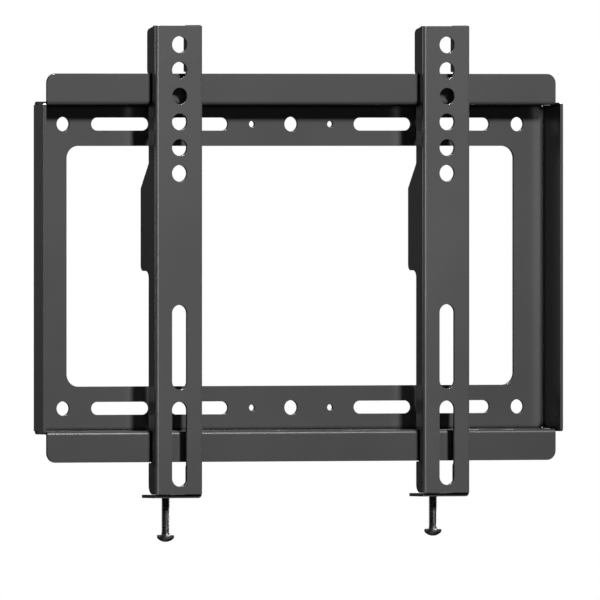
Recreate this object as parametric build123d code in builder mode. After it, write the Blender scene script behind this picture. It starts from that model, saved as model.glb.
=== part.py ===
# Fixed television wall bracket: a folded wall plate, two hooked arms that hang on its lips,
# and a long lock screw under each arm.
# Millimetres. The wall plate's back lies on the plane Y = 0, the middle of its hole pattern is
# the origin, the front faces -Y and +Z is up.

import os
from math import cos, radians, sin, sqrt

from build123d import *

# Sheet
plate_sheet = 1.5
arm_sheet = 1.5
bend_inner = 0.3
arm_bend_inner = 0.2

# Wall plate: overall sizes
lip_inset = 0.9
lip_to_lip = 181.0
lip_height = 14.6
lip_depth = 13.9
lip_corner = 4.5

# Wall plate: side flanges, which splay a little outwards
side_width = 265.8
side_flange = 15.8
side_splay = 7.6
side_end_gap = 0.06
side_corner = 1.2
side_cover_start = 7.0
side_cover_height = 154.1
relief_diameter = 1.0

# Wall plate: window and wall holes, which sit a little above the middle of the folds
pattern_rise = 0.75
window_width = 232.4
window_height = 112.0
window_corner = 5.8
wall_row = 66.2
corner_hole_x = 118.0
corner_hole_diameter = 6.7
centre_hole_diameter = 6.9
pilot_hole_x = 20.3
pilot_hole_diameter = 3.0
wall_slot_length = 30.0
wall_slot_width = 6.0
inner_slot_x = 47.6
outer_slot_x = 88.5

# Arms: channel
arm_width = 24.4
arm_top = 112.8
arm_bottom = -105.5
arm_positions = {"left": -66.3, "right": 72.6}
lip_standoff = 5.3

# Arms: screen holes, from the top down
arm_hole_diameter = 7.8
arm_hole_count = 6
arm_hole_pitch = 12.0
arm_hole_top = 104.0
arm_slot_length = 39.5
arm_slot_width = 7.8
arm_slot_centres = (-37.0, -82.1)

# Arms: outline of the flanges, as depths behind the face
flange_depth = 8.1
tongue_depth = 9.2
tongue_drop = 8.0
outer_hook_depth = 9.7
outer_hook_slope = 1.9
inner_hook_depth = 18.1
inner_hook_rise = 0.3
hook_step_above_lip = 0.8
hook_corner = 2.4
stop_depth = 16.7
stop_slope_top = 48.6
stop_slope_bottom = 36.9
stop_bottom = -1.5
stop_corner = 2.6
stop_return = 3.2
heel_corner = 4.0
lip_clearance = 0.3
lip_seat_gap = 0.1
shelf_clearance = 0.3
notch_corner = 0.8
slot_corner = 0.5

# Arms: foot and folded lock tab
tab_depth = 16.2
tab_gap = 0.25
tab_bend_outer = 1.6
tab_corner = 1.2
foot_corner = 3.0
tab_hole_clearance = 0.05
collar_wall = 1.2
collar_height = 1.6

# Lock screws
screw_diameter = 4.0
screw_length = 30.0
screw_point = 0.7
screw_axis_depth = 12.3
screw_axis_offset = -1.4
screw_head_diameter = 8.0
screw_head_height = 3.4
screw_head_rim = 1.5
screw_head_undercut = 0.25
dome_fractions = (0.85, 0.6)
screw_head_z = {"left": -124.5, "right": -122.5}
recess_span = 4.4
recess_slot = 0.9
recess_depth = 1.7

# Worked out from the sizes above
half_height = lip_to_lip / 2
lip_width = side_width - 2 * lip_inset
shelf_inside = half_height - lip_height
shelf_outside = shelf_inside + plate_sheet
bend_outer = bend_inner + plate_sheet
arm_bend_outer = arm_bend_inner + arm_sheet
arm_face_y = -(lip_depth + lip_standoff)
slot_front = lip_standoff - lip_clearance
slot_back = lip_standoff + plate_sheet + lip_clearance
slot_top = half_height + lip_seat_gap
tab_top = arm_bottom - tab_gap
tab_bottom = tab_top - arm_sheet
root = arm_bend_outer
touch = 0.01


def near(vertices, spots):
    """The vertices of a flat outline that lie at the given plane coordinates."""
    return [v for v in vertices if any(abs(v.X - a) + abs(v.Y - u) < touch for a, u in spots)]


def fold(corners, plane, amount):
    """Adds sheet with an outline of (across, up, radius) corners, extruded from a plane."""
    extrude(rounded_face(corners, plane), amount=amount, dir=plane.z_dir)


def rounded_face(corners, plane):
    """A face on a plane from (across, up, radius) corners, where a radius of 0 stays sharp."""
    points = [(a, u) for a, u, _ in corners]
    with BuildSketch(plane) as sketch:
        with BuildLine():
            Polyline(*points, close=True)
        make_face()
        for radius in sorted({r for _, _, r in corners if r > 0}):
            spots = [(a, u) for a, u, r in corners if r == radius]
            fillet(near(sketch.vertices(), spots), radius)
    return sketch.sketch


# Wall plate

def side_section(side):
    """Section of a side flange with its bend, on the XY plane: side is -1 or 1."""
    splay = radians(side_splay)
    base = side_width / 2
    tip = base + side_flange * sin(splay)
    tip_y = -side_flange * cos(splay)
    inner_run = plate_sheet * (1 - sin(splay)) / cos(splay)
    inner_base = base - plate_sheet * cos(splay) + inner_run * sin(splay)
    flat = base - 2 * bend_outer
    return [
        (side * flat, 0, 0),
        (side * base, 0, bend_outer),
        (side * tip, tip_y, 0),
        (side * (tip - plate_sheet * cos(splay)), tip_y - plate_sheet * sin(splay), 0),
        (side * inner_base, -plate_sheet, bend_inner),
        (side * flat, -plate_sheet, 0),
    ]


def side_cover(side):
    """Section of the front part of a side flange, which covers the shelves' ends."""
    splay = radians(side_splay)
    corners = []
    for depth, inset in ((side_cover_start, 0), (side_flange, 0), (side_flange, 1), (side_cover_start, 1)):
        across = side_width / 2 + depth * sin(splay) - inset * plate_sheet * cos(splay)
        along = -depth * cos(splay) - inset * plate_sheet * sin(splay)
        corners.append((side * across, along, 0))
    return corners


front = -plate_sheet
lip_back = -(lip_depth - plate_sheet)
side_top = shelf_inside - side_end_gap

with BuildPart() as wall_plate:
    # The plate, its two shelves and its two lips are one folded section
    rounded = [
        (0, -shelf_outside, bend_outer),
        (0, shelf_outside, bend_outer),
        (lip_back, shelf_outside, bend_inner),
        (lip_back, half_height, 0),
        (-lip_depth, half_height, 0),
        (-lip_depth, shelf_inside, bend_outer),
        (front, shelf_inside, bend_inner),
        (front, -shelf_inside, bend_inner),
        (-lip_depth, -shelf_inside, bend_outer),
        (-lip_depth, -half_height, 0),
        (lip_back, -half_height, 0),
        (lip_back, -shelf_outside, bend_inner),
    ]
    fold(rounded, Plane.YZ.offset(-lip_width / 2), lip_width)
    lip_edges = wall_plate.edges().filter_by(Axis.Y).group_by(Axis.Z)
    fillet(lip_edges[0] + lip_edges[-1], lip_corner)

    # The flat is notched at both ends, where the side flanges are folded forward
    notch_width = side_width / 2 - bend_outer
    with BuildSketch(Plane.XZ):
        with Locations((-side_width / 2, 0), (side_width / 2, 0)):
            Rectangle(2 * (side_width / 2 - notch_width), 2 * shelf_inside)
    extrude(amount=plate_sheet, mode=Mode.SUBTRACT)
    for side in (-1, 1):
        fold(side_section(side), Plane.XY.offset(-side_top), 2 * side_top)
        fold(side_cover(side), Plane.XY.offset(-side_cover_height / 2), side_cover_height)
    front_edges = wall_plate.edges().filter_by(Axis.Z, reverse=True).group_by(Axis.Y)[0]
    side_tips = front_edges.filter_by(lambda e: e.length < 2 * plate_sheet)
    fillet(side_tips, side_corner)

    # Window
    with BuildSketch(Plane.XZ):
        with Locations((0, pattern_rise)):
            RectangleRounded(window_width, window_height, window_corner)
    extrude(amount=plate_sheet, mode=Mode.SUBTRACT)

    # Wall holes, slots, pilot holes and the round reliefs at the corners of the bends
    relief_x = notch_width + relief_diameter / 2 - bend_inner / 2
    relief_z = shelf_inside - relief_diameter / 2
    with BuildSketch(Plane.XZ):
        with Locations((0, pattern_rise)):
            with Locations((0, wall_row), (0, -wall_row)):
                Circle(centre_hole_diameter / 2)
            with GridLocations(2 * corner_hole_x, 2 * wall_row, 2, 2):
                Circle(corner_hole_diameter / 2)
            with GridLocations(2 * pilot_hole_x, 2 * wall_row, 2, 2):
                Circle(pilot_hole_diameter / 2)
            for slot_x in (inner_slot_x, outer_slot_x):
                with GridLocations(2 * slot_x, 2 * wall_row, 2, 2):
                    SlotOverall(wall_slot_length, wall_slot_width)
        with GridLocations(2 * relief_x, 2 * relief_z, 2, 2):
            Circle(relief_diameter / 2)
    extrude(amount=bend_outer, mode=Mode.SUBTRACT)
wall_plate.part.label = "wall_plate"


# Arms

def y(depth):
    """Y at a depth behind the arms' face."""
    return arm_face_y + depth


def outer_hook(step):
    """Top of an outer flange, as corners: its edge drops a little towards its back."""
    return [
        (y(root), arm_top, 0),
        (y(outer_hook_depth), arm_top - outer_hook_slope, hook_corner),
        (y(outer_hook_depth), step + notch_corner, 0),
        (y(tongue_depth), step - notch_corner, 0),
    ]


def inner_hook(step):
    """Top of an inner flange, as corners: it stands a little above the face and goes deeper."""
    return [
        (y(root), arm_top, 0),
        (y(root + inner_hook_rise), arm_top + inner_hook_rise, 0),
        (y(inner_hook_depth), arm_top + inner_hook_rise, hook_corner),
        (y(inner_hook_depth), step, notch_corner),
        (y(tongue_depth), step, notch_corner),
    ]


def flange_outline(hook, footed):
    """Corners of a flange seen from the side, as (Y, Z, radius) from the top down the back."""
    lip_top = half_height
    tip = lip_top - tongue_drop
    corners = hook(lip_top + hook_step_above_lip)
    corners += [
        (y(tongue_depth), tip, notch_corner),
        (y(slot_back), tip, notch_corner),
        (y(slot_back), slot_top, slot_corner),
        (y(slot_front), slot_top, slot_corner),
        (y(slot_front), shelf_inside - shelf_clearance, notch_corner),
        (y(flange_depth), shelf_inside - shelf_clearance, notch_corner),
        (y(flange_depth), stop_slope_top, 0),
        (y(stop_depth), stop_slope_bottom, 0),
        (y(stop_depth), stop_bottom, stop_corner),
        (y(flange_depth), stop_bottom, stop_return),
        (y(flange_depth), -shelf_inside + shelf_clearance, notch_corner),
        (y(slot_front), -shelf_inside + shelf_clearance, notch_corner),
        (y(slot_front), -half_height - lip_clearance, notch_corner),
    ]
    if footed:
        corners += [
            (y(tab_depth), -half_height - lip_clearance, foot_corner),
            (y(tab_depth), tab_bottom, 0),
            (y(root), tab_bottom, 0),
        ]
    else:
        corners += [
            (y(flange_depth), -half_height - lip_clearance, notch_corner),
            (y(flange_depth), arm_bottom, heel_corner),
            (y(root), arm_bottom, 0),
        ]
    return corners


arms = {}
for name, arm_x in arm_positions.items():
    left_x = arm_x - arm_width / 2
    right_x = arm_x + arm_width / 2
    root_y = arm_face_y + arm_bend_outer + arm_sheet
    screw_x = arm_x + screw_axis_offset
    screw_y = arm_face_y + screw_axis_depth
    tab_middle = arm_face_y + (arm_bend_outer + tab_depth) / 2

    with BuildPart() as arm:
        # Face with the bends of both flanges
        channel = [
            (left_x, root_y, 0),
            (left_x, arm_face_y, arm_bend_outer),
            (right_x, arm_face_y, arm_bend_outer),
            (right_x, root_y, 0),
            (right_x - arm_sheet, root_y, 0),
            (right_x - arm_sheet, arm_face_y + arm_sheet, arm_bend_inner),
            (left_x + arm_sheet, arm_face_y + arm_sheet, arm_bend_inner),
            (left_x + arm_sheet, root_y, 0),
        ]
        fold(channel, Plane.XY.offset(arm_bottom), arm_top - arm_bottom)

        # Outer flange, and inner flange with the foot that carries the tab
        plain = flange_outline(outer_hook, False)
        fold(plain, Plane.YZ.offset(left_x), arm_sheet)
        footed = flange_outline(inner_hook, True)
        fold(footed, Plane.YZ.offset(right_x - arm_sheet), arm_sheet)

        # Lock tab, folded across under the arm
        with BuildSketch(Plane.XY.offset(tab_bottom)):
            with Locations(((left_x + right_x) / 2, tab_middle)):
                Rectangle(arm_width, tab_depth - arm_bend_outer)
        extrude(amount=arm_sheet)
        tab_edges = arm.edges().filter_by(Axis.Y).group_by(Axis.Z)[0]
        fillet(tab_edges.sort_by(Axis.X)[-1], tab_bend_outer)
        free_corners = arm.edges().filter_by(Axis.Z).filter_by(
            lambda e: e.center().Z < tab_top and e.length < 2 * arm_sheet
        ).group_by(Axis.X)[0]
        fillet(free_corners, tab_corner)

        # Drawn collar round the threaded hole of the tab
        with BuildSketch(Plane.XY.offset(tab_top)):
            with Locations((screw_x, screw_y)):
                Circle(screw_diameter / 2 + collar_wall)
        extrude(amount=collar_height)
        with BuildSketch(Plane.XY.offset(tab_bottom)):
            with Locations((screw_x, screw_y)):
                Circle(screw_diameter / 2 + tab_hole_clearance)
        extrude(amount=arm_sheet + collar_height, mode=Mode.SUBTRACT)

        # Screen holes and slots through the face
        with BuildSketch(Plane.XZ.offset(-arm_face_y)):
            for i in range(arm_hole_count):
                with Locations((arm_x, arm_hole_top - i * arm_hole_pitch)):
                    Circle(arm_hole_diameter / 2)
            for slot_z in arm_slot_centres:
                with Locations((arm_x, slot_z)):
                    SlotOverall(arm_slot_length, arm_slot_width, rotation=90)
        extrude(amount=-arm_sheet, mode=Mode.SUBTRACT)
    arm.part.label = f"{name}_arm"
    arms[name] = arm


# Lock screws

screws = {}
for name, arm_x in arm_positions.items():
    screw_x = arm_x + screw_axis_offset
    screw_y = arm_face_y + screw_axis_depth
    seat = screw_head_z[name]
    tip = seat + screw_length
    shank = screw_diameter / 2
    head = screw_head_diameter / 2
    base = seat - screw_head_height
    dome = screw_head_height - screw_head_rim
    dome_radius = (head**2 + dome**2) / (2 * dome)
    dome_steps = [head * step for step in dome_fractions]
    dome_points = [(r, base + dome_radius - sqrt(dome_radius**2 - r**2)) for r in dome_steps]

    with BuildPart() as screw:
        # Half section on the axis: point, shank, flat seat, rim and end, whose dome is in flats
        axis_plane = Plane(origin=(screw_x, screw_y, 0), x_dir=(1, 0, 0), z_dir=(0, -1, 0))
        with BuildSketch(axis_plane):
            with BuildLine():
                Polyline(
                    (0, base),
                    (0, tip),
                    (shank - screw_point, tip),
                    (shank, tip - screw_point),
                    (shank, seat),
                    (head - screw_head_undercut, seat),
                    (head, seat - screw_head_undercut),
                    (head, seat - screw_head_rim),
                    *dome_points,
                    close=True,
                )
            make_face()
        revolve(axis=Axis((screw_x, screw_y, 0), (0, 0, 1)))

        # Cross recess in the head
        with BuildSketch(Plane(origin=(screw_x, screw_y, base), z_dir=(0, 0, 1))):
            Rectangle(recess_span, recess_slot)
            Rectangle(recess_slot, recess_span)
        extrude(amount=recess_depth, mode=Mode.SUBTRACT)
    screw.part.label = f"{name}_lock_screw"
    screws[name] = screw


# Everything is drawn about the middle of the folds, and moves so that the hole pattern's middle
# is the origin.

to_origin = Location((0, 0, -pattern_rise))
os.makedirs("parts", exist_ok=True)
export_step(wall_plate.part.moved(to_origin), "parts/wall_plate.step")
for name in arm_positions:
    export_step(arms[name].part.moved(to_origin), f"parts/{name}_arm.step")
    export_step(screws[name].part.moved(to_origin), f"parts/{name}_lock_screw.step")
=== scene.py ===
"""Looks for a fixed television wall bracket: powder coat on the folded steel, threaded lock screws,
and a pale studio round them. Metres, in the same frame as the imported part."""

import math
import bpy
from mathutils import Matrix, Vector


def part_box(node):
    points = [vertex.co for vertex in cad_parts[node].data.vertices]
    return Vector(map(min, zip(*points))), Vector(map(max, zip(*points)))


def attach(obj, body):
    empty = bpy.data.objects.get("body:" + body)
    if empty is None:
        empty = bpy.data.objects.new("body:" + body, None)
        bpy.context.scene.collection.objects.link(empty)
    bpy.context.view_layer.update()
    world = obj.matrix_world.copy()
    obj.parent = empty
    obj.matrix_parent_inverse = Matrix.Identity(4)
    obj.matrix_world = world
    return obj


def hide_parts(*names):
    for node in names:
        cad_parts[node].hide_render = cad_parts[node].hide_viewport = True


bl_info = {
    "name": "Fixed television wall bracket looks",
    "version": (1, 0, 0),
    "blender": (4, 5, 0),
    "location": "3D View > Sidebar > Bracket",
    "description": "Dresses the bracket's plate, arms and lock screws, and lights them",
    "category": "Object",
}

import bmesh
import bpy
from bpy.props import FloatProperty, FloatVectorProperty, IntProperty, PointerProperty
from mathutils import Matrix, Vector

PLATE = "wall_plate"
SIDES = ("left", "right")

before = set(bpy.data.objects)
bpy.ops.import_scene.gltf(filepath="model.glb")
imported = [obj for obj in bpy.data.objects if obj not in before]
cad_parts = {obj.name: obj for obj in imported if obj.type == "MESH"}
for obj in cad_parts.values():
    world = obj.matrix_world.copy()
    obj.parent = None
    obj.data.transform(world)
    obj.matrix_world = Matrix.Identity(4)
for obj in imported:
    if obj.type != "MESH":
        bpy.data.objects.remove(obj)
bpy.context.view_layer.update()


# Node building blocks

# Where a noise texture's values mostly lie
NOISE_LOW = 0.35
NOISE_HIGH = 0.65

# Rounded edges: how fast their mask grows with the turn of the normal
EDGE_SAMPLES = 6
EDGE_CONTRAST = 4.0

# Painted shade in inside corners: how closed in a point is where the mask is 0, and how fast the
# mask grows
PAINTED_SHADE_SAMPLES = 8
PAINTED_SHADE_CLOSED = 0.62
PAINTED_SHADE_CONTRAST = 6.0

BLACK = (0.0, 0.0, 0.0)
WHITE = (1.0, 1.0, 1.0)


def add_inputs(tree, inputs):
    """Gives a node group its input sockets: (name, socket type, default)."""
    for label, kind, default in inputs:
        socket = tree.interface.new_socket(label, in_out="INPUT", socket_type=kind)
        if default is not None:
            socket.default_value = default


def new_group(name, inputs, outputs):
    """A shader node group with the given input and output sockets."""
    group = bpy.data.node_groups.new(name, "ShaderNodeTree")
    add_inputs(group, inputs)
    for label, kind in outputs:
        group.interface.new_socket(label, in_out="OUTPUT", socket_type=kind)
    start = group.nodes.new("NodeGroupInput")
    end = group.nodes.new("NodeGroupOutput")
    return group, start, end


def place(tree, kind, **values):
    """Adds a node and sets its properties."""
    node = tree.nodes.new(kind)
    for key, value in values.items():
        setattr(node, key, value)
    return node


def maths(tree, operation, *values, clamp=False):
    """A Math node on sockets or numbers, for shader and geometry trees alike."""
    node = place(tree, "ShaderNodeMath", operation=operation, use_clamp=clamp)
    for socket, value in zip(node.inputs, values):
        if isinstance(value, (int, float)):
            socket.default_value = value
        else:
            tree.links.new(value, socket)
    return node.outputs[0]


def noise(tree, vector, scale, detail, roughness):
    """A noise texture's value, on a vector and at a scale from sockets."""
    node = tree.nodes.new("ShaderNodeTexNoise")
    node.inputs["Detail"].default_value = detail
    node.inputs["Roughness"].default_value = roughness
    tree.links.new(vector, node.inputs["Vector"])
    tree.links.new(scale, node.inputs["Scale"])
    return node.outputs[0]


def coat_grain_group():
    """A coat's fine orange peel and its faint cloudiness."""
    group, start, end = new_group(
        "Powder coat grain",
        [
            ("Vector", "NodeSocketVector", None),
            ("Grain Scale", "NodeSocketFloat", 1400.0),
            ("Cloud Scale", "NodeSocketFloat", 22.0),
        ],
        [("Peel", "NodeSocketFloat"), ("Cloud", "NodeSocketFloat")],
    )
    spot = start.outputs["Vector"]
    peel = noise(group, spot, start.outputs["Grain Scale"], detail=2.0, roughness=0.45)
    cloud = noise(group, spot, start.outputs["Cloud Scale"], detail=3.0, roughness=0.5)
    group.links.new(peel, end.inputs["Peel"])
    group.links.new(cloud, end.inputs["Cloud"])
    return group


def edge_group():
    """Softly rounded sheet edges: a normal, and a mask that is 1 on the edges."""
    group, start, end = new_group(
        "Sheet edges",
        [("Radius", "NodeSocketFloat", 0.0004)],
        [("Normal", "NodeSocketVector"), ("Mask", "NodeSocketFloat")],
    )
    links = group.links
    bevel = place(group, "ShaderNodeBevel", samples=EDGE_SAMPLES)
    links.new(start.outputs["Radius"], bevel.inputs["Radius"])
    geometry = place(group, "ShaderNodeNewGeometry")
    dot = place(group, "ShaderNodeVectorMath", operation="DOT_PRODUCT")
    links.new(bevel.outputs[0], dot.inputs[0])
    links.new(geometry.outputs["Normal"], dot.inputs[1])
    turned = maths(group, "SUBTRACT", 1.0, dot.outputs["Value"], clamp=True)
    mask = maths(group, "MULTIPLY", turned, EDGE_CONTRAST, clamp=True)
    links.new(bevel.outputs[0], end.inputs["Normal"])
    links.new(mask, end.inputs["Mask"])
    return group


def painted_shade_group():
    """A mask for painted shade: 1 on open faces, falling to 0 in the inside corners of folds."""
    group, start, end = new_group(
        "Crevices",
        [("Reach", "NodeSocketFloat", 0.004)],
        [("Open", "NodeSocketFloat")],
    )
    corner = place(group, "ShaderNodeAmbientOcclusion", samples=PAINTED_SHADE_SAMPLES)
    group.links.new(start.outputs["Reach"], corner.inputs["Distance"])
    opened = maths(group, "SUBTRACT", corner.outputs["AO"], PAINTED_SHADE_CLOSED)
    mask = maths(group, "MULTIPLY", opened, PAINTED_SHADE_CONTRAST, clamp=True)
    group.links.new(mask, end.inputs["Open"])
    return group


GROUPS = {}


def shared(name, build):
    """Builds a shared group the first time that a material asks for it."""
    if name not in GROUPS:
        GROUPS[name] = build()
    return GROUPS[name]


def mixed(tree, factor, first, second):
    """Mixes two colours, each a socket or a tuple, by a factor socket."""
    node = place(tree, "ShaderNodeMix", data_type="RGBA")
    tree.links.new(factor, node.inputs["Factor"])
    # A Mix node's colour sockets are its inputs 6 and 7 and its output 2
    for socket, value in ((node.inputs[6], first), (node.inputs[7], second)):
        if isinstance(value, tuple):
            socket.default_value = (*value, 1.0)
        else:
            tree.links.new(value, socket)
    return node.outputs[2]


def remap(tree, value, low, high):
    """Maps a noise value from where it mostly lies to another range."""
    node = tree.nodes.new("ShaderNodeMapRange")
    tree.links.new(value, node.inputs["Value"])
    node.inputs["From Min"].default_value = NOISE_LOW
    node.inputs["From Max"].default_value = NOISE_HIGH
    node.inputs["To Min"].default_value = low
    node.inputs["To Max"].default_value = high
    return node.outputs["Result"]


def clouded(tree, grain, colour, swing):
    """A colour that drifts darker and paler by a share of itself."""
    dark = tuple(c * (1.0 - swing) for c in colour)
    pale = tuple(c * (1.0 + swing) for c in colour)
    return mixed(tree, remap(tree, grain.outputs["Cloud"], 0.0, 1.0), dark, pale)


def begin_material(name, grain_scale, cloud_scale, edge_radius):
    """A new material with its grain and edge groups, the grain on Object coordinates."""
    material = bpy.data.materials.new(name)
    material.use_nodes = True
    tree = material.node_tree
    spot = tree.nodes.new("ShaderNodeTexCoord")
    grain = place(tree, "ShaderNodeGroup", node_tree=shared("grain", coat_grain_group))
    grain.inputs["Grain Scale"].default_value = grain_scale
    grain.inputs["Cloud Scale"].default_value = cloud_scale
    tree.links.new(spot.outputs["Object"], grain.inputs["Vector"])
    edges = place(tree, "ShaderNodeGroup", node_tree=shared("edges", edge_group))
    edges.inputs["Radius"].default_value = edge_radius
    return material, tree, grain, edges


def relief(tree, grain, edges, strength, depth):
    """The grain's bump on the rounded edges' normal, for the material's shader."""
    bump = tree.nodes.new("ShaderNodeBump")
    bump.inputs["Strength"].default_value = strength
    bump.inputs["Distance"].default_value = depth
    tree.links.new(grain.outputs["Peel"], bump.inputs["Height"])
    tree.links.new(edges.outputs["Normal"], bump.inputs["Normal"])
    tree.links.new(bump.outputs["Normal"], tree.nodes["Principled BSDF"].inputs["Normal"])


# Materials

# Powder coat: gain and lift of the colour on rubbed edges, share of it that is left as painted
# shade in inside corners, swing of the roughness, strength of the orange peel and scale of the
# clouds
COAT_WORN_GAIN = 1.5
COAT_WORN_LIFT = 0.004
COAT_PAINTED_SHADE = 0.1
COAT_SATIN_SWING = 0.015
COAT_PEEL = 0.35
COAT_CLOUD_SCALE = 22.0

# Blackened zinc: scales of its grain and clouds, edge radius against the coat's, swing of the
# colour, its gain and share on rubbed crests, range of the roughness, metal, and bump
ZINC_GRAIN_SCALE = 2600.0
ZINC_CLOUD_SCALE = 420.0
ZINC_EDGE = 0.4
ZINC_MOTTLE = 0.2
ZINC_WORN_GAIN = 2.4
ZINC_WEAR = 0.6
ZINC_ROUGHNESS = (0.30, 0.42)
ZINC_METALLIC = 0.85
ZINC_BUMP = 0.25
ZINC_BUMP_DEPTH = 0.00002


def powder_coat(name, colour, settings):
    """Satin black powder coat with fine orange peel, rubbed edges and painted shade in inside
    corners.
    """
    material, tree, grain, edges = begin_material(
        name, 1.0 / settings.grain, COAT_CLOUD_SCALE, settings.edge
    )
    shader = tree.nodes["Principled BSDF"]
    painted_corner_shade = place(tree, "ShaderNodeGroup", node_tree=shared("corner_shade_mask", painted_shade_group))
    painted_corner_shade.inputs["Reach"].default_value = settings.painted_corner_shade
    unshaded = painted_corner_shade.outputs["Open"]

    body = clouded(tree, grain, colour, settings.mottle)
    worn = tuple(min(1.0, c * COAT_WORN_GAIN + COAT_WORN_LIFT) for c in colour)
    # Painted shade: inside corners take a tenth of the coat's colour
    painted_shade = tuple(c * COAT_PAINTED_SHADE for c in colour)
    rubbed = maths(tree, "MULTIPLY", edges.outputs["Mask"], settings.wear)
    coat = mixed(tree, unshaded, painted_shade, mixed(tree, rubbed, body, worn))
    tree.links.new(coat, shader.inputs["Base Color"])
    low = settings.roughness - COAT_SATIN_SWING
    high = settings.roughness + COAT_SATIN_SWING
    satin = remap(tree, grain.outputs["Peel"], low, high)
    tree.links.new(satin, shader.inputs["Roughness"])
    shader.inputs["Specular IOR Level"].default_value = settings.gloss
    # Painted shade: inside corners get a black specular tint, so they mirror nothing
    tree.links.new(mixed(tree, unshaded, BLACK, WHITE), shader.inputs["Specular Tint"])
    relief(tree, grain, edges, COAT_PEEL, settings.depth)
    return material


def black_zinc(name, colour, settings):
    """Blackened zinc on the screws: dark metal with a faint cloudy sheen and rubbed crests."""
    material, tree, grain, edges = begin_material(
        name, ZINC_GRAIN_SCALE, ZINC_CLOUD_SCALE, settings.edge * ZINC_EDGE
    )
    shader = tree.nodes["Principled BSDF"]
    body = clouded(tree, grain, colour, ZINC_MOTTLE)
    worn = tuple(min(1.0, c * ZINC_WORN_GAIN) for c in colour)
    rubbed = maths(tree, "MULTIPLY", edges.outputs["Mask"], ZINC_WEAR)
    tree.links.new(mixed(tree, rubbed, body, worn), shader.inputs["Base Color"])
    sheen = remap(tree, grain.outputs["Cloud"], *ZINC_ROUGHNESS)
    tree.links.new(sheen, shader.inputs["Roughness"])
    shader.inputs["Metallic"].default_value = ZINC_METALLIC
    relief(tree, grain, edges, ZINC_BUMP, ZINC_BUMP_DEPTH)
    return material


def dress(node, material):
    """Gives a carried-over CAD node its finished material."""
    mesh_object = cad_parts[node]
    for slot in mesh_object.material_slots:
        slot.material = material
    if not mesh_object.material_slots:
        mesh_object.data.materials.append(material)


# Lock screw geometry

# Thread: how steep its flanks are, how wide its crest is, and the gap that its seams close over
THREAD_SLOPE = 2.6
THREAD_CREST = 0.15
SEAM_GAP = 0.000002

# Shank: its tip's radius against its diameter, and the turns over which the thread runs out
TIP_RADIUS = 0.3
RUNOUT_TURNS = 2.0

# Pan head: faces around it, rings in its dome, share of its height that is rim and share of
# that that is straight, where the dome starts, and the rolled edge of its seat
HEAD_SIDES = 48
DOME_RINGS = 10
HEAD_RIM = 0.42
RIM_STRAIGHT = 0.7
DOME_START = 0.997
SEAT_ROLL = 0.00025
SEAT_ROLL_MIDDLE = 0.00008

# Cross recess: its floor's span and width against its mouth's, its arms' width against its
# span, and where its cutter starts below the head
RECESS_FLOOR_SPAN = 0.45
RECESS_FLOOR_WIDTH = 0.65
RECESS_ARM = 0.2
RECESS_START = -0.001

# Angle past which an edge of a screw stays sharp
CREASE = math.radians(38.0)


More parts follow.
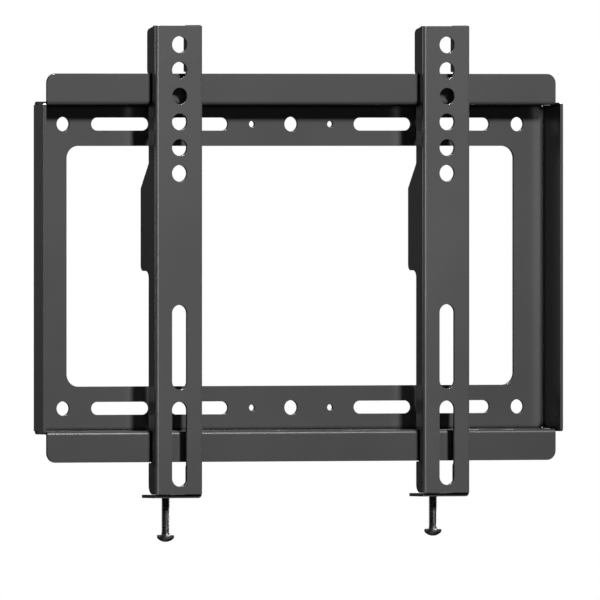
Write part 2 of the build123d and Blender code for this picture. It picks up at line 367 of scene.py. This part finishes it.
def thread_tree():
    """Geometry Nodes: a screw's shank with its helical thread, from a rolled-up grid."""
    tree = bpy.data.node_groups.new("Screw thread", "GeometryNodeTree")
    add_inputs(
        tree,
        [
            ("Length", "NodeSocketFloat", 0.030),
            ("Pitch", "NodeSocketFloat", 0.0007),
            ("Radius", "NodeSocketFloat", 0.002),
            ("Depth", "NodeSocketFloat", 0.0004),
            ("Tip Radius", "NodeSocketFloat", 0.0012),
            ("Runout", "NodeSocketFloat", 0.001),
            ("Rows Per Turn", "NodeSocketInt", 8),
            ("Sides", "NodeSocketInt", 32),
            ("Middle", "NodeSocketVector", None),
            ("Finish", "NodeSocketMaterial", None),
        ],
    )
    tree.interface.new_socket("Geometry", in_out="OUTPUT", socket_type="NodeSocketGeometry")
    nodes = tree.nodes
    links = tree.links
    given = nodes.new("NodeGroupInput").outputs

    # A grid of one metre, with a row for each step along the screw, is rolled up below
    turns = maths(tree, "DIVIDE", given["Length"], given["Pitch"])
    rows = maths(tree, "MULTIPLY", turns, given["Rows Per Turn"])
    grid = nodes.new("GeometryNodeMeshGrid")
    grid.inputs["Size X"].default_value = 1.0
    grid.inputs["Size Y"].default_value = 1.0
    links.new(rows, grid.inputs["Vertices X"])
    links.new(maths(tree, "ADD", given["Sides"], 1.0), grid.inputs["Vertices Y"])

    where = nodes.new("GeometryNodeInputPosition")
    parts = nodes.new("ShaderNodeSeparateXYZ")
    links.new(where.outputs[0], parts.inputs[0])
    along = maths(tree, "ADD", parts.outputs["X"], 0.5, clamp=True)
    around = maths(tree, "ADD", parts.outputs["Y"], 0.5, clamp=True)
    height = maths(tree, "MULTIPLY", along, given["Length"])
    angle = maths(tree, "MULTIPLY", around, 2.0 * math.pi)

    # Two turns are added so that the fraction is never taken of a negative number
    climbed = maths(tree, "ADD", maths(tree, "DIVIDE", height, given["Pitch"]), 2.0)
    phase = maths(tree, "FRACT", maths(tree, "SUBTRACT", climbed, around))
    offset = maths(tree, "ABSOLUTE", maths(tree, "SUBTRACT", phase, 0.5))
    sloped = maths(tree, "MULTIPLY", offset, THREAD_SLOPE)
    valley = maths(tree, "SUBTRACT", sloped, THREAD_CREST, clamp=True)
    fade = maths(tree, "DIVIDE", height, given["Runout"], clamp=True)
    full = maths(tree, "MULTIPLY", valley, given["Depth"])
    cut = maths(tree, "MULTIPLY", full, fade)
    threaded = maths(tree, "SUBTRACT", given["Radius"], cut)
    left_over = maths(tree, "SUBTRACT", given["Length"], height)
    taper = maths(tree, "ADD", given["Tip Radius"], left_over)
    radius = maths(tree, "MINIMUM", threaded, taper)

    point = nodes.new("ShaderNodeCombineXYZ")
    for axis, wave in (("X", "COSINE"), ("Y", "SINE")):
        swung = maths(tree, "MULTIPLY", radius, maths(tree, wave, angle))
        links.new(swung, point.inputs[axis])
    links.new(height, point.inputs["Z"])
    roll = nodes.new("GeometryNodeSetPosition")
    links.new(grid.outputs["Mesh"], roll.inputs["Geometry"])
    links.new(point.outputs[0], roll.inputs["Position"])
    flip = nodes.new("GeometryNodeFlipFaces")
    links.new(roll.outputs[0], flip.inputs[0])

    cap = nodes.new("GeometryNodeMeshCircle")
    cap.fill_type = "NGON"
    links.new(given["Sides"], cap.inputs["Vertices"])
    links.new(given["Tip Radius"], cap.inputs["Radius"])
    lift = nodes.new("GeometryNodeTransform")
    top = nodes.new("ShaderNodeCombineXYZ")
    links.new(given["Length"], top.inputs["Z"])
    links.new(cap.outputs[0], lift.inputs["Geometry"])
    links.new(top.outputs[0], lift.inputs["Translation"])

    both = nodes.new("GeometryNodeJoinGeometry")
    links.new(flip.outputs[0], both.inputs[0])
    links.new(lift.outputs[0], both.inputs[0])
    sewn = nodes.new("GeometryNodeMergeByDistance")
    sewn.inputs["Distance"].default_value = SEAM_GAP
    links.new(both.outputs[0], sewn.inputs["Geometry"])
    moved = nodes.new("GeometryNodeTransform")
    links.new(sewn.outputs[0], moved.inputs["Geometry"])
    links.new(given["Middle"], moved.inputs["Translation"])
    smooth = nodes.new("GeometryNodeSetShadeSmooth")
    links.new(moved.outputs[0], smooth.inputs[0])
    real = nodes.new("GeometryNodeRealizeInstances")
    links.new(smooth.outputs[0], real.inputs[0])
    finish = nodes.new("GeometryNodeSetMaterial")
    links.new(real.outputs[0], finish.inputs["Geometry"])
    links.new(given["Finish"], finish.inputs["Material"])
    end = nodes.new("NodeGroupOutput")
    links.new(finish.outputs[0], end.inputs[0])
    return tree


def plain_mesh(made):
    """An object's mesh as its modifiers leave it."""
    bpy.context.view_layer.update()
    graph = bpy.context.evaluated_depsgraph_get()
    return bpy.data.meshes.new_from_object(made.evaluated_get(graph))


def grown(name, tree, values):
    """Evaluates a geometry tree with the given inputs and returns the plain mesh."""
    seed = bpy.data.objects.new(name, bpy.data.meshes.new(name))
    bpy.context.scene.collection.objects.link(seed)
    modifier = seed.modifiers.new("Shape", "NODES")
    modifier.node_group = tree
    sockets = (item for item in tree.interface.items_tree if item.item_type == "SOCKET")
    keys = {socket.name: socket.identifier for socket in sockets}
    for label, value in values.items():
        modifier[keys[label]] = value
    mesh = plain_mesh(seed)
    bpy.data.objects.remove(seed)
    return mesh


def lathe(profile, sides, middle):
    """Turns (radius, height) points into a closed mesh about a vertical axis."""
    shape = bmesh.new()
    rings = []
    for radius, height in profile:
        if radius <= 0.0:
            rings.append([shape.verts.new(middle + Vector((0.0, 0.0, height)))])
            continue
        ring = []
        for i in range(sides):
            a = 2.0 * math.pi * i / sides
            spot = Vector((radius * math.cos(a), radius * math.sin(a), height))
            ring.append(shape.verts.new(middle + spot))
        rings.append(ring)
    for low, high in zip(rings, rings[1:]):
        for i in range(sides):
            j = (i + 1) % sides
            corners = [low[i % len(low)], low[j % len(low)]]
            corners += [high[j % len(high)], high[i % len(high)]]
            face = list(dict.fromkeys(corners))
            if len(face) > 2:
                shape.faces.new(face)
    bmesh.ops.recalc_face_normals(shape, faces=shape.faces)
    return shape


def to_object(name, shape, material):
    """A bmesh as a linked object at the origin."""
    mesh = bpy.data.meshes.new(name)
    shape.to_mesh(mesh)
    shape.free()
    mesh.materials.append(material)
    made = bpy.data.objects.new(name, mesh)
    bpy.context.scene.collection.objects.link(made)
    return made


def cross_cutter(settings, middle, base):
    """A tapered cross that cuts the driver recess upwards from the head's end."""
    shape = bmesh.new()
    for turn in (0.0, math.pi / 2.0):
        for vert in bmesh.ops.create_cube(shape, size=1.0)["verts"]:
            top = vert.co.z > 0.0
            span = settings.recess * (RECESS_FLOOR_SPAN if top else 1.0)
            width = settings.recess * RECESS_ARM * (RECESS_FLOOR_WIDTH if top else 1.0)
            height = settings.recess_depth if top else RECESS_START
            spot = Vector((vert.co.x * span, vert.co.y * width, height))
            spot.rotate(Matrix.Rotation(turn, 3, "Z"))
            vert.co = middle + Vector((spot.x, spot.y, base + spot.z))
    bmesh.ops.recalc_face_normals(shape, faces=shape.faces)
    return shape


def pan_head(settings, middle, seat, material):
    """The pan head: flat seat, rolled rim, domed end and cross recess."""
    radius = settings.head / 2.0
    end = seat - settings.head_height
    rim = settings.head_height * HEAD_RIM
    dome = settings.head_height - rim
    ball = (radius * radius + dome * dome) / (2.0 * dome)
    profile = [
        (0.0, seat),
        (radius - SEAT_ROLL, seat),
        (radius - SEAT_ROLL_MIDDLE, seat - SEAT_ROLL_MIDDLE),
        (radius, seat - SEAT_ROLL),
        (radius, seat - rim * RIM_STRAIGHT),
    ]
    for i in range(DOME_RINGS + 1):
        x = radius * (1.0 - i / DOME_RINGS) * DOME_START
        profile.append((x, end + ball - math.sqrt(max(0.0, ball * ball - x * x))))
    head = to_object("head", lathe(profile, HEAD_SIDES, middle), material)
    cutter = to_object("cutter", cross_cutter(settings, middle, end), material)
    cut = head.modifiers.new("Recess", "BOOLEAN")
    cut.object = cutter
    cut.solver = "EXACT"
    cut.use_self = True
    mesh = plain_mesh(head)
    for made in (head, cutter):
        bpy.data.objects.remove(made)
    return mesh


def lock_screw(side, settings, material, tree):
    """One lock screw in place of its CAD node, riding on its own body."""
    node = f"{side}_lock_screw"
    low, high = (Vector(corner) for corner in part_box(node))
    centre = (low + high) / 2.0
    middle = Vector((centre.x, centre.y, 0.0))
    seat = high.z - settings.length
    thread = grown(
        f"{side}_thread",
        tree,
        {
            "Length": settings.length,
            "Pitch": settings.pitch,
            "Radius": settings.diameter / 2.0,
            "Depth": settings.thread_depth,
            "Tip Radius": settings.diameter * TIP_RADIUS,
            "Runout": settings.pitch * RUNOUT_TURNS,
            "Rows Per Turn": settings.rows,
            "Sides": settings.sides,
            "Middle": (centre.x, centre.y, seat),
            "Finish": material,
        },
    )
    head = pan_head(settings, middle, seat, material)
    joined = bmesh.new()
    joined.from_mesh(thread)
    joined.from_mesh(head)
    for face in joined.faces:
        face.smooth = True
        face.material_index = 0
    for edge in joined.edges:
        if len(edge.link_faces) == 2 and edge.calc_face_angle(0.0) > CREASE:
            edge.smooth = False
    screw = to_object(f"{side}_threaded_screw", joined, material)
    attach(screw, f"screw_{side}")
    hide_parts(node)
    return screw


# Stage

BRACKET_MIDDLE = (0.0, -0.01, 0.0)
ABOVE_BRACKET = (0.0, -0.01, 0.30)

# Name, degrees right of and above straight ahead, distance, point that it looks at, (width,
# height), setting with its power, full angle of its beam in degrees
LAMPS = (
    ("Key softbox", 13.6, 33.5, 4.0, ABOVE_BRACKET, (0.62, 0.62), "key", 32.0),
    ("Left strip", -17.0, 1.0, 2.4, BRACKET_MIDDLE, (1.2, 0.3), "left", 60.0),
    ("Window softbox", -122.0, 10.0, 1.2, BRACKET_MIDDLE, (0.5, 0.5), "side", 60.0),
    ("Back left wall", -162.0, 5.0, 2.4, BRACKET_MIDDLE, (0.7, 0.9), "back", 60.0),
    ("Rear softbox", 128.0, 35.0, 2.4, BRACKET_MIDDLE, (0.9, 0.9), "rear", 60.0),
)

FLOOR_SIDES = 96
FLOOR_DULL = (0.80, 0.80, 0.79)
FLOOR_BRIGHT = (0.84, 0.84, 0.84)
FLOOR_CLOUD_SCALE = 6.0
FLOOR_ROUGHNESS = 0.7

SENSOR_WIDTH = 36.0
CLIP_END = 100.0


def soft_light(name, where, aim, size, power, spread):
    """An oval softbox of (width, height) that looks at a point, with its beam's full angle."""
    lamp = bpy.data.lights.new(name, "AREA")
    lamp.shape = "ELLIPSE"
    lamp.size, lamp.size_y = size
    lamp.spread = spread
    lamp.energy = power
    made = bpy.data.objects.new(name, lamp)
    made.location = where
    made.visible_camera = False
    made.rotation_euler = (Vector(aim) - Vector(where)).to_track_quat("-Z", "Y").to_euler()
    bpy.context.scene.collection.objects.link(made)
    return made


def direction(right, up):
    """Unit vector from the bracket towards a lamp, by degrees right of and above straight ahead."""
    a = math.radians(right)
    e = math.radians(up)
    return Vector((math.sin(a) * math.cos(e), -math.cos(a) * math.cos(e), math.sin(e)))


def studio_world(settings):
    """White behind the object for the camera, and a low even light for everything else."""
    world = bpy.data.worlds.new("Studio")
    bpy.context.scene.world = world
    world.use_nodes = True
    tree = world.node_tree
    back = tree.nodes["Background"]
    rays = tree.nodes.new("ShaderNodeLightPath")
    direct = rays.outputs["Is Camera Ray"]
    seen = maths(tree, "MAXIMUM", direct, rays.outputs["Is Transmission Ray"])
    mirrored = maths(tree, "MULTIPLY", rays.outputs["Is Glossy Ray"], settings.reflected)
    shown = maths(tree, "MAXIMUM", seen, mirrored)
    tree.links.new(maths(tree, "MAXIMUM", shown, settings.ambient), back.inputs["Strength"])
    back.inputs["Color"].default_value = (*WHITE, 1.0)


def pale_floor(settings):
    """A round pale floor well below the bracket, which hangs on a wall."""
    shape = bmesh.new()
    bmesh.ops.create_circle(
        shape, cap_ends=True, segments=FLOOR_SIDES, radius=settings.floor_radius
    )
    for vert in shape.verts:
        vert.co.z = settings.floor_level
    material = bpy.data.materials.new("Pale floor")
    material.use_nodes = True
    tree = material.node_tree
    shader = tree.nodes["Principled BSDF"]
    spot = tree.nodes.new("ShaderNodeTexCoord")
    clouds = tree.nodes.new("ShaderNodeTexNoise")
    clouds.inputs["Scale"].default_value = FLOOR_CLOUD_SCALE
    tree.links.new(spot.outputs["Object"], clouds.inputs["Vector"])
    colour = mixed(tree, clouds.outputs[0], FLOOR_DULL, FLOOR_BRIGHT)
    tree.links.new(colour, shader.inputs["Base Color"])
    shader.inputs["Roughness"].default_value = FLOOR_ROUGHNESS
    floor = to_object("floor", shape, material)
    return floor


def photo_camera(settings):
    """The camera, far off and a little to the bracket's left, aimed at the picture's middle."""
    camera = bpy.data.cameras.new("Camera")
    camera.sensor_fit = "HORIZONTAL"
    camera.sensor_width = SENSOR_WIDTH
    camera.lens = settings.lens
    camera.clip_end = CLIP_END
    made = bpy.data.objects.new("Camera", camera)
    yaw = settings.yaw
    pitch = settings.pitch
    level = math.cos(pitch)
    back = Vector((-math.sin(yaw) * level, -math.cos(yaw) * level, math.sin(pitch)))
    made.location = Vector(settings.aim) + settings.distance * back
    made.rotation_euler = (-back).to_track_quat("-Z", "Y").to_euler()
    bpy.context.scene.collection.objects.link(made)
    bpy.context.scene.camera = made
    return made


# Settings

class BracketCoatSettings(bpy.types.PropertyGroup):
    """Powder coat on the plate and the arms."""

    # The plate's coat is set darker than the arms': painted shade for the plate, which sits
    # recessed behind them
    plate_colour: FloatVectorProperty(
        name="Plate colour", description="Colour of the wall plate's coat",
        subtype="COLOR", size=3, min=0.0, max=1.0, default=(0.030, 0.030, 0.031),
    )
    arm_colour: FloatVectorProperty(
        name="Arm colour", description="Colour of the arms' coat",
        subtype="COLOR", size=3, min=0.0, max=1.0, default=(0.036, 0.0355, 0.036),
    )
    roughness: FloatProperty(
        name="Roughness", description="Satin of the coat", default=0.22, min=0.05, max=1.0,
    )
    gloss: FloatProperty(
        name="Gloss", description="Specular level of the coat", default=0.85, min=0.0, max=1.0,
    )
    grain: FloatProperty(
        name="Grain", description="Size of the orange peel",
        default=0.0007, unit="LENGTH", precision=5,
    )
    depth: FloatProperty(
        name="Grain depth", description="Height of the orange peel",
        default=0.000012, unit="LENGTH", precision=6,
    )
    edge: FloatProperty(
        name="Edge radius", description="How round the sheet's edges look",
        default=0.0003, unit="LENGTH", precision=5,
    )
    wear: FloatProperty(
        name="Edge wear", description="How far the edges are rubbed",
        default=0.5, min=0.0, max=1.0,
    )
    # Painted shade: how far the darkening of inside corners spreads
    painted_corner_shade: FloatProperty(
        name="Painted shade reach", description="How far the dark of inside corners spreads",
        default=0.0035, unit="LENGTH", precision=5,
    )
    mottle: FloatProperty(
        name="Mottle", description="Cloudiness of the colour", default=0.05, min=0.0, max=0.5,
    )


class BracketScrewSettings(bpy.types.PropertyGroup):
    """The lock screws."""

    colour: FloatVectorProperty(
        name="Colour", description="Colour of the blackened zinc",
        subtype="COLOR", size=3, min=0.0, max=1.0, default=(0.07, 0.07, 0.073),
    )
    diameter: FloatProperty(
        name="Diameter", description="Over the crests", default=0.004, unit="LENGTH", precision=5,
    )
    length: FloatProperty(
        name="Length", description="Under the head", default=0.030, unit="LENGTH", precision=5,
    )
    pitch: FloatProperty(
        name="Pitch", description="Of the thread", default=0.0007, unit="LENGTH", precision=5,
    )
    thread_depth: FloatProperty(
        name="Thread depth", description="From crest to root",
        default=0.00042, unit="LENGTH", precision=6,
    )
    head: FloatProperty(
        name="Head", description="Head diameter", default=0.008, unit="LENGTH", precision=5,
    )
    head_height: FloatProperty(
        name="Head height", description="From seat to dome",
        default=0.00327, unit="LENGTH", precision=5,
    )
    recess: FloatProperty(
        name="Recess", description="Span of the cross",
        default=0.0044, unit="LENGTH", precision=5,
    )
    recess_depth: FloatProperty(
        name="Recess depth", description="Depth of the cross",
        default=0.0019, unit="LENGTH", precision=5,
    )
    rows: IntProperty(
        name="Rows", description="Rows of faces in a turn of thread", default=8, min=4,
    )
    sides: IntProperty(
        name="Sides", description="Faces around the shank", default=32, min=12,
    )


class BracketStageSettings(bpy.types.PropertyGroup):
    """Floor, lamps, world and camera."""

    floor_level: FloatProperty(
        name="Floor level", description="Height of the floor", default=-1.2, unit="LENGTH",
    )
    floor_radius: FloatProperty(
        name="Floor radius", description="Size of the floor", default=0.6, unit="LENGTH",
    )
    ambient: FloatProperty(
        name="Ambient", description="Even light from all round", default=0.02, min=0.0,
    )
    reflected: FloatProperty(
        name="Reflected", description="How bright the room looks in gloss",
        default=0.02, min=0.0,
    )
    key: FloatProperty(
        name="Key", description="Power of the main softbox", default=16.0, unit="POWER",
    )
    left: FloatProperty(
        name="Left", description="Power of the strip lamp on the left",
        default=0.62, unit="POWER",
    )
    side: FloatProperty(
        name="Side", description="Power of the softbox that shines in through the window",
        default=0.28, unit="POWER",
    )
    back: FloatProperty(
        name="Back", description="Power of the lit wall behind on the left",
        default=0.031, unit="POWER",
    )
    rear: FloatProperty(
        name="Rear", description="Power of the softbox behind", default=16.0, unit="POWER",
    )
    lens: FloatProperty(
        name="Lens", description="Focal length in millimetres", default=1640.0,
    )
    distance: FloatProperty(
        name="Distance", description="From camera to bracket", default=12.773, unit="LENGTH",
    )
    yaw: FloatProperty(
        name="Yaw", description="Camera's turn to the left",
        default=math.radians(26.0), subtype="ANGLE",
    )
    pitch: FloatProperty(
        name="Pitch", description="Camera's height",
        default=math.radians(0.3516), subtype="ANGLE",
    )
    aim: FloatVectorProperty(
        name="Aim", description="Point in the middle of the picture",
        size=3, subtype="TRANSLATION", default=(0.004640, -0.0015, -0.0160), precision=5,
    )


# Operators

class BRACKET_OT_coat(bpy.types.Operator):
    """Coats the wall plate and both arms"""

    bl_idname = "bracket.coat"
    bl_label = "Powder coat"

    def execute(self, context):
        settings = context.scene.bracket_coat
        dress(PLATE, powder_coat("Plate powder coat", tuple(settings.plate_colour), settings))
        arm = powder_coat("Arm powder coat", tuple(settings.arm_colour), settings)
        for side in SIDES:
            dress(f"{side}_arm", arm)
        return {"FINISHED"}


class BRACKET_OT_lock_screws(bpy.types.Operator):
    """Makes the threaded lock screw under each arm"""

    bl_idname = "bracket.lock_screws"
    bl_label = "Lock screws"

    def execute(self, context):
        settings = context.scene.bracket_screws
        coat = context.scene.bracket_coat
        material = black_zinc("Black zinc", tuple(settings.colour), coat)
        tree = thread_tree()
        for side in SIDES:
            dress(f"{side}_lock_screw", material)
            lock_screw(side, settings, material, tree)
        return {"FINISHED"}


class BRACKET_OT_stage(bpy.types.Operator):
    """Sets up the floor, softboxes, world and camera"""

    bl_idname = "bracket.stage"
    bl_label = "Studio"

    def execute(self, context):
        settings = context.scene.bracket_stage
        context.scene.view_settings.view_transform = "Standard"
        for name, right, up, distance, aim, size, setting, beam in LAMPS:
            where = direction(right, up) * distance
            power = getattr(settings, setting)
            soft_light(name, where, aim, size, power, math.radians(beam))
        studio_world(settings)
        pale_floor(settings)
        photo_camera(settings)
        return {"FINISHED"}


class BRACKET_PT_panel(bpy.types.Panel):
    """Lists the bracket's settings and steps"""

    bl_label = "Wall bracket"
    bl_idname = "BRACKET_PT_panel"
    bl_space_type = "VIEW_3D"
    bl_region_type = "UI"
    bl_category = "Bracket"

    def draw(self, context):
        layout = self.layout
        for group, operator in STEPS:
            box = layout.box()
            settings = getattr(context.scene, group)
            for name in settings.__annotations__:
                box.prop(settings, name)
            box.operator(operator)


STEPS = (
    ("bracket_coat", "bracket.coat"),
    ("bracket_screws", "bracket.lock_screws"),
    ("bracket_stage", "bracket.stage"),
)
SETTINGS = {
    "bracket_coat": BracketCoatSettings,
    "bracket_screws": BracketScrewSettings,
    "bracket_stage": BracketStageSettings,
}
CLASSES = (
    BracketCoatSettings,
    BracketScrewSettings,
    BracketStageSettings,
    BRACKET_OT_coat,
    BRACKET_OT_lock_screws,
    BRACKET_OT_stage,
    BRACKET_PT_panel,
)


def register():
    for cls in CLASSES:
        bpy.utils.register_class(cls)
    for name, cls in SETTINGS.items():
        setattr(bpy.types.Scene, name, PointerProperty(type=cls))


def unregister():
    for name in SETTINGS:
        delattr(bpy.types.Scene, name)
    for cls in reversed(CLASSES):
        bpy.utils.unregister_class(cls)


def main():
    register()
    bpy.ops.bracket.coat()
    bpy.ops.bracket.lock_screws()
    bpy.ops.bracket.stage()


if __name__ == "__main__":
    main()
